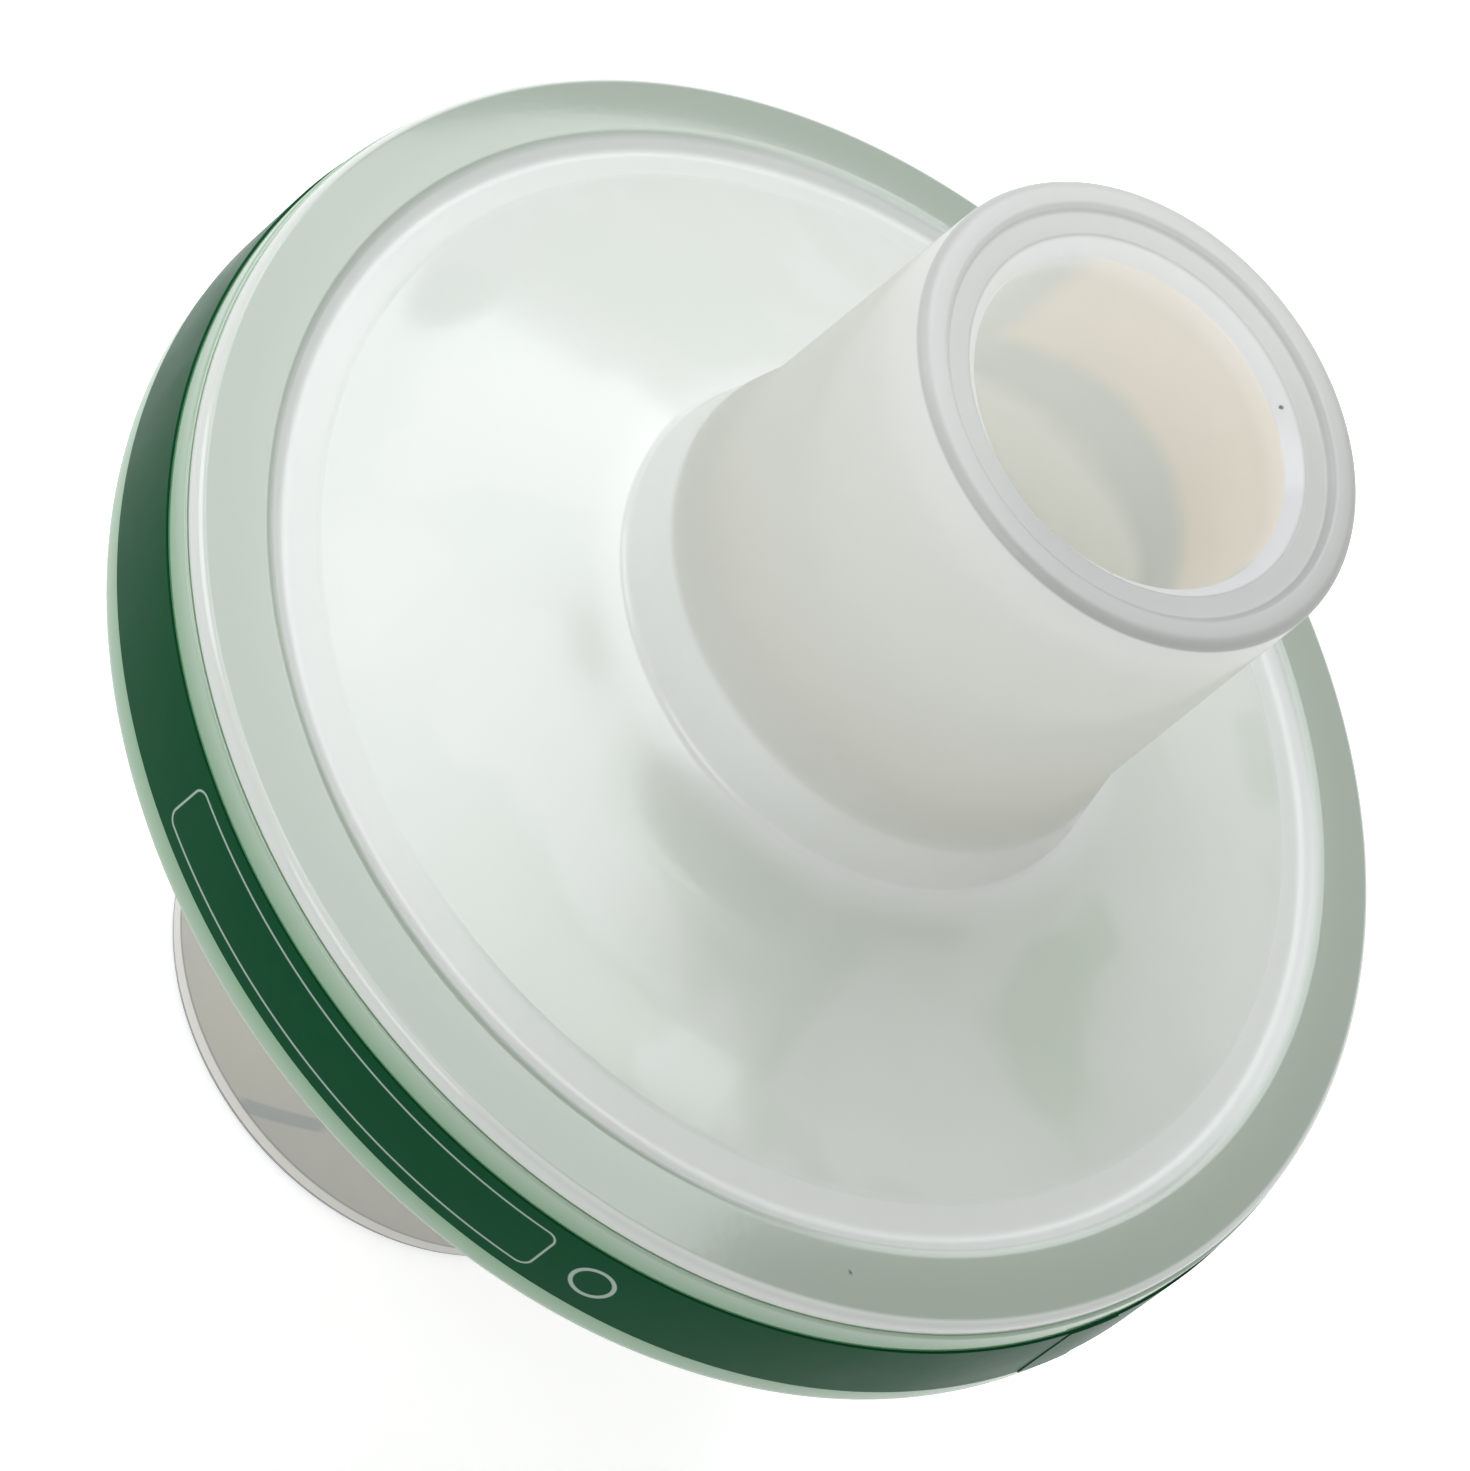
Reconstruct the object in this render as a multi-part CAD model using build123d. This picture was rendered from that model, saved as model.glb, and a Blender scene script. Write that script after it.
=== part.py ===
from build123d import *
from math import atan2, cos, pi, radians, sin, tan
import os

# Breathing circuit filter with a heat and moisture exchanger, a disposable that sits between a patient's
# tube and the breathing circuit. Two translucent mouldings are welded round the rim and hold a felt
# and an exchanger pad between them. A printed film is wrapped round the rim.
# The axis is Z, the machine tube stands on Z = 0 and the patient tube points up. Millimetres.

# Conical connectors, which taper by this much in diameter for each millimetre of length
cone_taper = 1 / 40
patient_cone_end_d = 21.9
patient_socket_mouth_d = 15.5
patient_socket_depth = 18.0
machine_socket_mouth_d = 22.5
machine_socket_depth = 20.5
machine_cone_end_d = 15.2
machine_cone_setback = 1.0
machine_bore_d = 12.4

# Lengths along the axis
machine_tube_length = 20.0
lower_dome_rise = 4.5
parting_above_pad = 0.55
rim_top_rise = 1.6
groove_depth = 0.6
dome_foot_rise = 0.2
dome_rise = 4.5
boss_height = 5.4
patient_tube_length = 15.9

# Diameters of the housing
rim_d = 60.2
boss_foot_d = 24.4

# Widths of the rings across the rim, from its edge inwards
flange_ring_width = 3.2
crest_slope_width = 0.9
groove_ramp_width = 1.55
lower_ring_width = 4.1

# Walls
rim_wall = 1.5
dome_wall = 1.4
groove_wall = 1.1
floor_wall = 1.4
patient_tube_wall = 1.3
socket_wall = 1.0
machine_tube_wall = 1.45
end_web = 1.8
socket_floor = 1.5

# Rim flange of the upper moulding and the tongue that it lowers into the wall of the lower one
flange_inset = 0.15
flange_edge_height = 0.85
tongue_width = 1.9
tongue_clearance = 0.1

# End face of the patient tube: a low step inside the outer edge, then a lead-in to the socket
lip_width = 1.2
lip_step = 0.35
lip_slope = 0.2
lead_in = 0.7

# Felt and pad
felt_thickness = 2.0
felt_clearance = 0.2
pad_thickness = 3.2
pad_clearance = 0.25

# Ribs that keep the felt and the pad off the domes
rib_count = 8
rib_thickness = 0.9
rib_clear_d = 20.0

# Printed film round the rim wall
label_width = 4.2
label_thickness = 0.12
label_top_gap = 1.35
label_overlap = 3.0
label_seam_angle = -15.0

# Rounded edges
edge_round = 0.5
crest_round = 0.35
foot_round = 0.5
boss_round = 6.0
rim_foot_round = 0.7

# Heights, from the machine tube up
lower_hub_z = machine_tube_length
rim_bottom_z = lower_hub_z + lower_dome_rise
felt_bottom_z = rim_bottom_z + floor_wall
felt_top_z = felt_bottom_z + felt_thickness
pad_top_z = felt_top_z + pad_thickness
parting_z = pad_top_z + parting_above_pad
crest_z = parting_z + rim_top_rise
groove_z = crest_z - groove_depth
dome_foot_z = crest_z + dome_foot_rise
boss_foot_z = dome_foot_z + dome_rise
boss_top_z = boss_foot_z + boss_height
patient_end_z = boss_top_z + patient_tube_length

# Radii of the rim
rim_r = rim_d / 2
crest_r = rim_r - flange_ring_width
groove_r = crest_r - crest_slope_width
dome_foot_r = groove_r - groove_ramp_width
lower_dome_foot_r = rim_r - lower_ring_width
rim_inside_r = rim_r - rim_wall
tongue_outer_r = rim_inside_r - tongue_clearance
tongue_inner_r = tongue_outer_r - tongue_width


def cone_radius(end_d, distance, narrows=False):
    """Radius of a connector cone at a distance from its end."""
    change = cone_taper * distance / 2
    return end_d / 2 - change if narrows else end_d / 2 + change


def turned(corners):
    """Solid turned about Z from corners of (radius, height) or (radius, height, rounding)."""
    points = [(corner[0], corner[1]) for corner in corners]
    roundings = [corner[2] if len(corner) > 2 else 0 for corner in corners]
    with BuildPart() as solid:
        with BuildSketch(Plane.XZ):
            with BuildLine():
                FilletPolyline(*points, radius=roundings, close=True)
            make_face()
        revolve(axis=Axis.Z)
    return solid.part


def ring(outer_r, inner_r, bottom_z, height):
    """Plain ring or, with no inner radius, a disc."""
    outside = Pos(0, 0, bottom_z) * Cylinder(outer_r, height, align=(Align.CENTER, Align.CENTER, Align.MIN))
    if inner_r <= 0:
        return outside
    return outside - Pos(0, 0, bottom_z) * Cylinder(
        inner_r, height, align=(Align.CENTER, Align.CENTER, Align.MIN)
    )


def slope(low, high):
    """Angle of the wall between two (radius, height) points."""
    return atan2(abs(high[1] - low[1]), abs(high[0] - low[0]))


def radial_ribs(space, bottom_z, height, outer_r):
    """Ribs that fill a turned space along equal spokes, clear of the axis."""
    length = outer_r - rib_clear_d / 2
    blade = Pos(rib_clear_d / 2 + length / 2, 0, bottom_z + height / 2) * Box(length, rib_thickness, height)
    spokes = [Rot(0, 0, 360 / rib_count * number) * blade for number in range(rib_count)]
    return [spoke & space for spoke in spokes]


# Dome walls, each as the drop from its outer line to its inner line
dome_angle = slope((dome_foot_r, dome_foot_z), (boss_foot_d / 2, boss_foot_z))
dome_drop = dome_wall / cos(dome_angle)
patient_root_r = cone_radius(patient_cone_end_d, patient_tube_length)
machine_root_r = cone_radius(machine_socket_mouth_d, machine_tube_length, narrows=True) + machine_tube_wall
lower_angle = slope((machine_root_r, lower_hub_z), (lower_dome_foot_r, rim_bottom_z))
lower_drop = dome_wall / cos(lower_angle)


def dome_inside_z(radius):
    """Height of the upper dome's inner face at a radius."""
    return dome_foot_z - dome_drop + (dome_foot_r - radius) * tan(dome_angle)


def lower_inside_z(radius):
    """Height of the lower dome's inner face at a radius."""
    return lower_hub_z + lower_drop + (radius - machine_root_r) * tan(lower_angle)


def patient_housing():
    """Upper moulding: rim, dome, boss and the double-walled patient tube."""
    flange_r = rim_r - flange_inset
    end_r = patient_cone_end_d / 2
    lip_r = end_r - lip_width
    lip_floor_z = patient_end_z - lip_step
    mouth_r = patient_socket_mouth_d / 2
    throat_r = cone_radius(patient_socket_mouth_d, patient_socket_depth, narrows=True)
    socket_end_z = lip_floor_z - patient_socket_depth
    gap_top_z = patient_end_z - end_web
    boss_inside_r = boss_foot_d / 2 - dome_wall
    tube_inside_r = patient_root_r - patient_tube_wall
    under_groove_z = groove_z - groove_wall
    shell = turned([
        (flange_r, parting_z),
        (flange_r, parting_z + flange_edge_height, edge_round),
        (crest_r, crest_z, crest_round),
        (groove_r, groove_z, crest_round),
        (dome_foot_r, dome_foot_z, crest_round),
        (boss_foot_d / 2, boss_foot_z, foot_round),
        (patient_root_r, boss_top_z, boss_round),
        (end_r, patient_end_z, edge_round),
        (lip_r, patient_end_z),
        (lip_r - lip_slope, lip_floor_z),
        (mouth_r + lead_in, lip_floor_z),
        (mouth_r, lip_floor_z - lead_in),
        (throat_r, socket_end_z),
        (throat_r + socket_wall, socket_end_z),
        (mouth_r + socket_wall, gap_top_z),
        (end_r - patient_tube_wall, gap_top_z),
        (tube_inside_r, boss_top_z, boss_round),
        (boss_inside_r, dome_inside_z(boss_inside_r), foot_round),
        (dome_foot_r, dome_inside_z(dome_foot_r)),
        (groove_r, under_groove_z),
        (tongue_inner_r, under_groove_z),
        (tongue_inner_r, felt_top_z),
        (tongue_outer_r, felt_top_z),
        (tongue_outer_r, parting_z),
    ])
    under_dome = turned([
        (0, pad_top_z),
        (tongue_inner_r, pad_top_z),
        (tongue_inner_r, under_groove_z),
        (groove_r, under_groove_z),
        (dome_foot_r, dome_inside_z(dome_foot_r)),
        (boss_inside_r, dome_inside_z(boss_inside_r)),
        (0, dome_inside_z(boss_inside_r)),
    ])
    ribs = radial_ribs(under_dome, pad_top_z, boss_foot_z - pad_top_z, tongue_inner_r)
    return fuse(shell, ribs)


def machine_housing():
    """Lower moulding: rim wall, lower dome and the machine tube with its inner cone."""
    mouth_r = machine_socket_mouth_d / 2
    socket_floor_z = machine_socket_depth
    socket_end_r = cone_radius(machine_socket_mouth_d, machine_socket_depth, narrows=True)
    hub_top_z = socket_floor_z + socket_floor
    cone_length = machine_socket_depth - machine_cone_setback
    cone_end_r = machine_cone_end_d / 2
    cone_root_r = cone_radius(machine_cone_end_d, cone_length)
    bore_r = machine_bore_d / 2
    hub_r = machine_root_r + (hub_top_z - lower_inside_z(machine_root_r)) / tan(lower_angle)
    seat_r = machine_root_r + (felt_bottom_z - lower_inside_z(machine_root_r)) / tan(lower_angle)
    shell = turned([
        (mouth_r + machine_tube_wall, 0, edge_round),
        (machine_root_r, lower_hub_z, foot_round),
        (lower_dome_foot_r, rim_bottom_z, foot_round),
        (rim_r, rim_bottom_z, rim_foot_round),
        (rim_r, parting_z),
        (rim_inside_r, parting_z),
        (rim_inside_r, felt_bottom_z),
        (seat_r, felt_bottom_z),
        (hub_r, hub_top_z),
        (bore_r, hub_top_z, edge_round),
        (bore_r, machine_cone_setback),
        (cone_end_r, machine_cone_setback, edge_round),
        (cone_root_r, socket_floor_z),
        (socket_end_r, socket_floor_z),
        (mouth_r, 0, edge_round),
    ])
    over_dome = turned([
        (0, hub_top_z),
        (hub_r, hub_top_z),
        (seat_r, felt_bottom_z),
        (0, felt_bottom_z),
    ])
    ribs = radial_ribs(over_dome, hub_top_z, felt_bottom_z - hub_top_z, seat_r)
    return fuse(shell, ribs)


def fuse(shell, ribs):
    """One moulding from a shell and its ribs."""
    solid = shell
    for rib in ribs:
        solid = solid + rib
    return solid


def filter_media():
    """Felt of the filter, clamped at its edge under the tongue."""
    return ring(rim_inside_r - felt_clearance, 0, felt_bottom_z, felt_thickness)


def hme_element():
    """Exchanger pad, inside the tongue and held down by the ribs of the dome."""
    return ring(tongue_inner_r - pad_clearance, 0, felt_top_z, pad_thickness)


def label_band():
    """Film wrapped once round the rim, with a short overlap at its seam."""
    bottom_z = parting_z - label_top_gap - label_width
    outer_r = rim_r + label_thickness
    wrap = ring(outer_r, rim_r, bottom_z, label_width)
    half_angle = label_overlap / rim_r * 90 / pi
    flap_r = outer_r + label_thickness
    reach = flap_r / cos(radians(half_angle)) + 1
    corner = (reach * cos(radians(half_angle)), reach * sin(radians(half_angle)))
    wedge = extrude(make_face(Polyline((0, 0), corner, (corner[0], -corner[1]), close=True)), label_width)
    flap = ring(flap_r, rim_r, bottom_z, label_width) & (Pos(0, 0, bottom_z) * wedge)
    return wrap + Rot(0, 0, label_seam_angle) * flap


nodes = {
    "patient_housing": patient_housing,
    "machine_housing": machine_housing,
    "filter_media": filter_media,
    "hme_element": hme_element,
    "label_band": label_band,
}

os.makedirs("parts", exist_ok=True)
for name, make in nodes.items():
    solid = make()
    export_step(solid, f"parts/{name}.step")
    print(name, round(solid.volume / 1000, 2), "cm3")
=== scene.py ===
from math import atan2, cos, hypot, pi, radians, sin, tan

import bpy
from mathutils import Matrix, Vector


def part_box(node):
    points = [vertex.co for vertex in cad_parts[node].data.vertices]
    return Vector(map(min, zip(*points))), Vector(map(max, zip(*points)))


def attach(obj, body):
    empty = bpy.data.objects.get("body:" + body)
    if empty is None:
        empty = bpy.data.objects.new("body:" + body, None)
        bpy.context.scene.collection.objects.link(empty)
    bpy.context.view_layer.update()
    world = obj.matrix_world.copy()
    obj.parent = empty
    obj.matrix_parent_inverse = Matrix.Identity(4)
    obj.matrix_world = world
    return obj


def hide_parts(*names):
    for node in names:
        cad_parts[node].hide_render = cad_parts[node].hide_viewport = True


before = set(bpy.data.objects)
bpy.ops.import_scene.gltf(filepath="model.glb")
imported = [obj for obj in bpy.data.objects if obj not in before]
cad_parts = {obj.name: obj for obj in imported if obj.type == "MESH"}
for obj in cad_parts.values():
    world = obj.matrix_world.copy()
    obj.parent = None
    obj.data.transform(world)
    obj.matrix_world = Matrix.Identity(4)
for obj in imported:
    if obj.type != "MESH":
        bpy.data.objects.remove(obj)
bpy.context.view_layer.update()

bl_info = {
    "name": "Breathing Circuit Filter",
    "version": (1, 0, 0),
    "blender": (4, 5, 0),
    "location": "3D View > Sidebar > Breathing Filter",
    "description": "Translucent breathing filter with its label, felt, pad and studio",
    "category": "Add Mesh",
}

MM = 0.001

# The frame's own sizes
PATIENT_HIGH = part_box("patient_housing")[1]
MACHINE_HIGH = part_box("machine_housing")[1]
FELT_LOW, FELT_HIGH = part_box("filter_media")
PAD_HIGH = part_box("hme_element")[1]
LABEL_LOW, LABEL_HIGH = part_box("label_band")
RIM_RADIUS = MACHINE_HIGH.x
FLANGE_RADIUS = PATIENT_HIGH.x
PARTING_Z = MACHINE_HIGH.z
PATIENT_END_Z = PATIENT_HIGH.z
TUBE_TAPER = 1 / 80

# How finely a piece is turned, and how near two points are to be the same one
TURN_STEPS = 320
SAME_POINT = 2e-6

# Corners turn smoothly up to this angle between faces
SMOOTH_ANGLE = radians(35)

# Azimuths from +X: the side where warm light is painted into the bore, and the side where painted shade makes
# the whole filter greyer
WARM_LIGHT_SIDE = radians(75)
SHADED_SIDE = radians(-15)

# Share of its light that one wall of the milky plastic lets through
THROUGH_SHARE = 0.38


def length(name, description, value_mm):
    """A size that a user may change, given here in millimetres."""
    return bpy.props.FloatProperty(
        name=name, description=description, default=value_mm * MM, min=0, unit="LENGTH", precision=5
    )


def colour(name, description, value):
    """A surface colour that a user may change."""
    return bpy.props.FloatVectorProperty(
        name=name, description=description, default=value, size=3, min=0, max=1, subtype="COLOR"
    )


class PatientHousingSizes(bpy.types.PropertyGroup):
    """Sizes of the upper moulding."""

    ring_width: length("Flange Ring", "Width of the flat ring from the rim to the crest", 3.05)
    crest_rise: length("Crest Rise", "Height of the crest over the parting line", 1.6)
    groove_width: length("Groove Slope", "Width of the slope from the crest into the groove", 0.9)
    groove_depth: length("Groove Depth", "Depth of the groove under the crest", 0.6)
    ramp_width: length("Groove Ramp", "Width of the ramp from the groove up to the dome", 1.55)
    foot_rise: length("Dome Foot Rise", "Height of the dome's foot over the crest", 0.2)
    dome_rise: length("Dome Rise", "Height of the dome", 4.5)
    boss_foot: length("Boss Foot Radius", "Radius where the dome meets the boss", 12.2)
    boss_height: length("Boss Height", "Height of the boss under the tube", 5.4)
    tube_end: length("Tube End Radius", "Outer radius of the patient tube at its end", 10.95)
    mouth: length("Socket Mouth Radius", "Radius of the socket at its mouth", 7.75)
    socket_depth: length("Socket Depth", "Depth of the socket inside the patient tube", 18.0)
    socket_wall: length("Socket Wall", "Wall of the socket tube", 1.0)
    tube_wall: length("Tube Wall", "Outer wall of the patient tube", 1.3)
    end_web: length("End Web", "Thickness of the web that joins both walls at the end", 1.8)
    lip_width: length("Lip Width", "Width of the raised outer lip of the end face", 1.2)
    lip_step: length("Lip Step", "Depth of the end face inside the lip", 0.35)
    lead_in: length("Lead-in", "Chamfer at the mouth of the socket", 0.7)
    wall: length("Dome Wall", "Thickness of the dome", 1.4)
    groove_wall: length("Groove Wall", "Thickness under the groove", 1.1)
    tongue: length("Tongue Width", "Width of the tongue inside the rim wall", 1.9)


class MachineHousingSizes(bpy.types.PropertyGroup):
    """Sizes of the lower moulding."""

    dome_rise: length("Dome Rise", "Height of the lower dome under the rim", 4.5)
    hub: length("Hub Height", "Height of the tube under the lower dome", 20.0)
    ring_width: length("Ring Width", "Width of the flat ring under the rim", 4.1)
    rim_wall: length("Rim Wall", "Thickness of the rim wall", 1.5)
    mouth: length("Socket Mouth Radius", "Radius of the outer socket at its mouth", 11.25)
    socket_depth: length("Socket Depth", "Depth of the outer socket", 20.5)
    socket_floor: length("Socket Floor", "Thickness of the floor of the socket", 1.5)
    tube_wall: length("Tube Wall", "Wall of the machine tube", 1.45)
    cone_end: length("Cone End Radius", "Outer radius of the inner cone at its end", 7.6)
    cone_setback: length("Cone Setback", "Distance of the inner cone's end from the tube's end", 1.0)
    bore: length("Bore Radius", "Radius of the bore through the inner cone", 6.2)
    wall: length("Dome Wall", "Thickness of the lower dome", 1.4)


class LabelSizes(bpy.types.PropertyGroup):
    """Sizes of the printed film."""

    overlap: length("Overlap", "Length over which the film's end laps over its start", 3.0)
    lift: length("Overlap Lift", "Height of the film's end over its start", 0.05)
    seam_angle: bpy.props.FloatProperty(
        name="Seam Angle", description="Place of the overlap round the axis, from +X",
        default=radians(-15), subtype="ANGLE",
    )


class RibSizes(bpy.types.PropertyGroup):
    """Sizes of the ribs inside both mouldings."""

    count: bpy.props.IntProperty(
        name="Ribs", description="Number of ribs under each dome", default=8, min=2
    )
    thickness: length("Rib Thickness", "Thickness of each rib", 0.9)
    inner_end: length("Rib Inner End", "Distance of the ribs' inner ends from the axis", 10.0)


class FilterLooks(bpy.types.PropertyGroup):
    """Colours of the pieces."""

    dome: colour("Dome", "Milky polypropylene of the dome", (0.88, 0.905, 0.87))
    # Greener drifts at random, with painted shade over the side turned away from the light
    cloud_and_shade: colour("Dome Clouds and Shade", "Where the dome looks greener, from what lies behind it", (0.66, 0.74, 0.64))
    # Painted light: the groove's ring is paler than the dome
    groove: colour("Groove", "Pale ring of the groove round the dome", (0.93, 0.95, 0.93))
    # Painted light, brighter where light comes through the single wall
    boss: colour("Boss", "Single wall of the boss and the root of the tube", (0.95, 0.975, 0.95))
    # Painted shade, greyer where two walls lie behind each other
    tube: colour("Double Wall", "The tube where two walls lie behind each other", (0.63, 0.65, 0.625))
    # Painted shade on the end face, darker again on the shaded side
    lip: colour("Lip", "End face of the patient tube", (0.27, 0.28, 0.275))
    # Painted shade in thin lines: in the step inside the lip and beside the machine tube's bright edge
    painted_shade_line: colour("Lip Line", "Thin dark line inside the lip", (0.20, 0.22, 0.22))
    # Painted bluish reflection on the chamfer at the mouth of the socket
    lead_in_reflection: colour("Lead-in", "Chamfer at the mouth of the socket", (0.60, 0.63, 0.72))
    # Painted light and shade in the socket: warm light near the mouth, shade halfway down, pale light at the
    # inner end
    bore_warm_light: colour("Bore Mouth", "Socket wall near its mouth, lit through the tube", (1.0, 0.81, 0.62))
    bore_painted_shade: colour("Bore Middle", "Socket wall halfway down", (0.50, 0.60, 0.58))
    bore_painted_light: colour("Bore End", "Socket wall at its inner end", (1.0, 1.0, 0.93))
    rim: colour("Rim", "Plastic over the green film, which shows through", (0.40, 0.48, 0.39))
    # Painted highlight along the rounded edge of the flange
    seam: colour("Flange Edge Highlight", "Whitened edge of the flange over the weld", (0.78, 0.81, 0.75))
    wall: colour("Rim Wall", "Side of the rim, away from the film", (0.40, 0.56, 0.40))
    wall_green: colour("Rim Wall by the Film", "Side of the rim close to the film", (0.17, 0.40, 0.19))
    machine: colour("Machine Tube", "Plastic of the machine tube", (0.70, 0.68, 0.58))
    machine_grey: colour("Machine Tube Grey", "Greyer drifts in the machine tube", (0.66, 0.655, 0.59))
    # Painted bluish reflection, a short streak on the machine tube
    machine_reflection_streak: colour("Machine Tube Reflection", "Short bluish mark on the machine tube", (0.33, 0.39, 0.42))
    # Painted highlight along the rounded end of the machine tube
    machine_edge_highlight: colour("Machine Tube Edge", "Bright rounded edge of the machine tube", (1.0, 0.97, 0.90))
    through: colour("Light Through", "Colour of the light that comes through a wall", (0.985, 0.98, 0.965))
    film: colour("Film", "Dark green printed film", (0.002, 0.080, 0.027))
    print: colour("Print", "Pale print on the film", (0.45, 0.56, 0.48))
    dirt: colour("Dirt", "Specks of dirt on the plastic", (0.02, 0.02, 0.018))
    felt: colour("Felt", "Fibres of the filter felt", (0.82, 0.82, 0.80))
    paper: colour("Paper", "Coated paper of the exchanger", (0.74, 0.71, 0.62))
    floor: colour("Floor", "Studio floor", (0.84, 0.84, 0.84))


class StageSettings(bpy.types.PropertyGroup):
    """Camera and light."""

    distance: length("Camera Distance", "Distance of the camera from what it looks at", 526.08)
    elevation: bpy.props.FloatProperty(
        name="Camera Elevation", description="Height of the camera as an angle over the floor",
        default=radians(46.765), subtype="ANGLE",
    )
    roll: bpy.props.FloatProperty(
        name="Camera Roll", description="Turn of the camera about its own axis",
        default=radians(51.03), subtype="ANGLE",
    )
    lens: bpy.props.FloatProperty(
        name="Lens", description="Focal length of the camera", default=296.14, unit="CAMERA"
    )
    target: bpy.props.FloatVectorProperty(
        name="Target", description="Point that the camera looks at",
        default=(-0.19 * MM, 0, 27.55 * MM), size=3, subtype="TRANSLATION",
    )
    key: bpy.props.FloatProperty(
        name="Key Light", description="Power of the large soft light over the filter",
        default=6.9, unit="POWER",
    )
    side: bpy.props.FloatProperty(
        name="Side Light", description="Power of the soft light beside the filter",
        default=1.9, unit="POWER",
    )
    front: bpy.props.FloatProperty(
        name="Front Light", description="Power of the low soft light in front of the filter",
        default=1.8, unit="POWER",
    )
    sky: bpy.props.FloatProperty(
        name="Sky", description="Strength of the even light from all round", default=0.30, min=0
    )


class Shade:
    """One socket of a material's nodes, so that shader sums are written as Python sums."""

    def __init__(self, tree, socket=None):
        self.tree = tree
        self.socket = socket

    def node(self, kind, settings=None, sockets=None, output=0):
        """Adds a node, sets its settings first and then its sockets, and returns one of its outputs."""
        made = self.tree.nodes.new(kind)
        for name, setting in (settings or {}).items():
            setattr(made, name, setting)
        for name, value in (sockets or {}).items():
            if isinstance(value, Shade):
                self.tree.links.new(value.socket, made.inputs[name])
            else:
                made.inputs[name].default_value = value
        return Shade(self.tree, made.outputs[output] if made.outputs else None)

    def maths(self, operation, *values):
        return self.node("ShaderNodeMath", {"operation": operation}, dict(enumerate(values)))

    def __add__(self, other):
        return self.maths("ADD", self, other)

    def __sub__(self, other):
        return self.maths("SUBTRACT", self, other)

    def __mul__(self, other):
        return self.maths("MULTIPLY", self, other)

    def __truediv__(self, other):
        return self.maths("DIVIDE", self, other)

    def __pow__(self, other):
        return self.maths("POWER", self, other)

    def __rsub__(self, other):
        return self.maths("SUBTRACT", other, self)

    __radd__ = __add__
    __rmul__ = __mul__

    def over(self, edge, soft):
        """0 below an edge and 1 above it, with a smooth change as wide as soft to each side."""
        return self.node(
            "ShaderNodeMapRange",
            {"interpolation_type": "SMOOTHSTEP"},
            {"Value": self, "From Min": edge - soft, "From Max": edge + soft},
        )

    def between(self, low, high, soft):
        """1 between two edges and 0 elsewhere."""
        return self.over(low, soft) * (1 - self.over(high, soft))

    def noise(self, where, scale, detail=2.0, roughness=0.5):
        """Noise from 0 to 1 at a scale per metre."""
        return self.node(
            "ShaderNodeTexNoise", None,
            {"Vector": where, "Scale": scale, "Detail": detail, "Roughness": roughness},
        )

    def mix(self, factor, first, second):
        """Colour between two colours."""
        return self.node(
            "ShaderNodeMix", {"data_type": "RGBA"}, {0: factor, 6: rgba(first), 7: rgba(second)}, 2
        )

    def bump(self, height, distance, normal=None):
        """Normal that follows a height from 0 to 1 over a distance in metres."""
        sockets = {"Height": height, "Distance": distance, "Strength": 1.0}
        if normal is not None:
            sockets["Normal"] = normal
        return self.node("ShaderNodeBump", None, sockets)


def rgba(value):
    """A colour with its alpha, or a socket as it is."""
    return value if isinstance(value, Shade) else (*value[:3], 1.0)


class Place:
    """Where a point of a surface lies round the filter's axis."""

    def __init__(self, start):
        self.point = start.node("ShaderNodeTexCoord", None, None, "Object")
        self.x = start.node("ShaderNodeSeparateXYZ", None, {0: self.point}, 0)
        self.y = start.node("ShaderNodeSeparateXYZ", None, {0: self.point}, 1)
        self.z = start.node("ShaderNodeSeparateXYZ", None, {0: self.point}, 2)
        self.radius = (self.x * self.x + self.y * self.y) ** 0.5

    def angle(self):
        """Angle about the axis, 0 at -Y and growing towards +X."""
        return self.x.maths("ARCTAN2", self.x, self.y * -1)

    def side(self, azimuth):
        """1 on the side at an azimuth from +X, and -1 on the side across from it."""
        return (self.x * cos(azimuth) + self.y * sin(azimuth)) / self.radius


def new_material(name):
    """An empty material and the start of its nodes."""
    material = bpy.data.materials.new(name)
    material.use_nodes = True
    material.node_tree.nodes.clear()
    return material, Shade(material.node_tree)


def surface(start, sockets):
    """Principled surface with the sockets given, sent to the output."""
    shader = start.node("ShaderNodeBsdfPrincipled", None, sockets)
    start.node("ShaderNodeOutputMaterial", None, {"Surface": shader})


def speck(place, angle, radius, height, size, grain):
    """1 in a small speck, ragged by a grain, at an angle, radius and height round the axis."""
    centre = (radius * sin(angle), -radius * cos(angle), height)
    away = place.point.node(
        "ShaderNodeVectorMath", {"operation": "DISTANCE"}, {0: place.point, 1: centre}, "Value"
    )
    ragged = away + (grain - 0.5) * size
    return 1 - ragged.over(size * 0.7, size * 0.25)


def rim_wall(start, place, looks):
    """Colour of the rim's side, greener close to the film."""
    beside = (place.z - (LABEL_LOW.z + LABEL_HIGH.z) / 2)
    away = beside.maths("ABSOLUTE", beside) - (LABEL_HIGH.z - LABEL_LOW.z) / 2
    return start.mix(away.over(0.7 * MM, 0.7 * MM), looks.wall_green, looks.wall)


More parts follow.
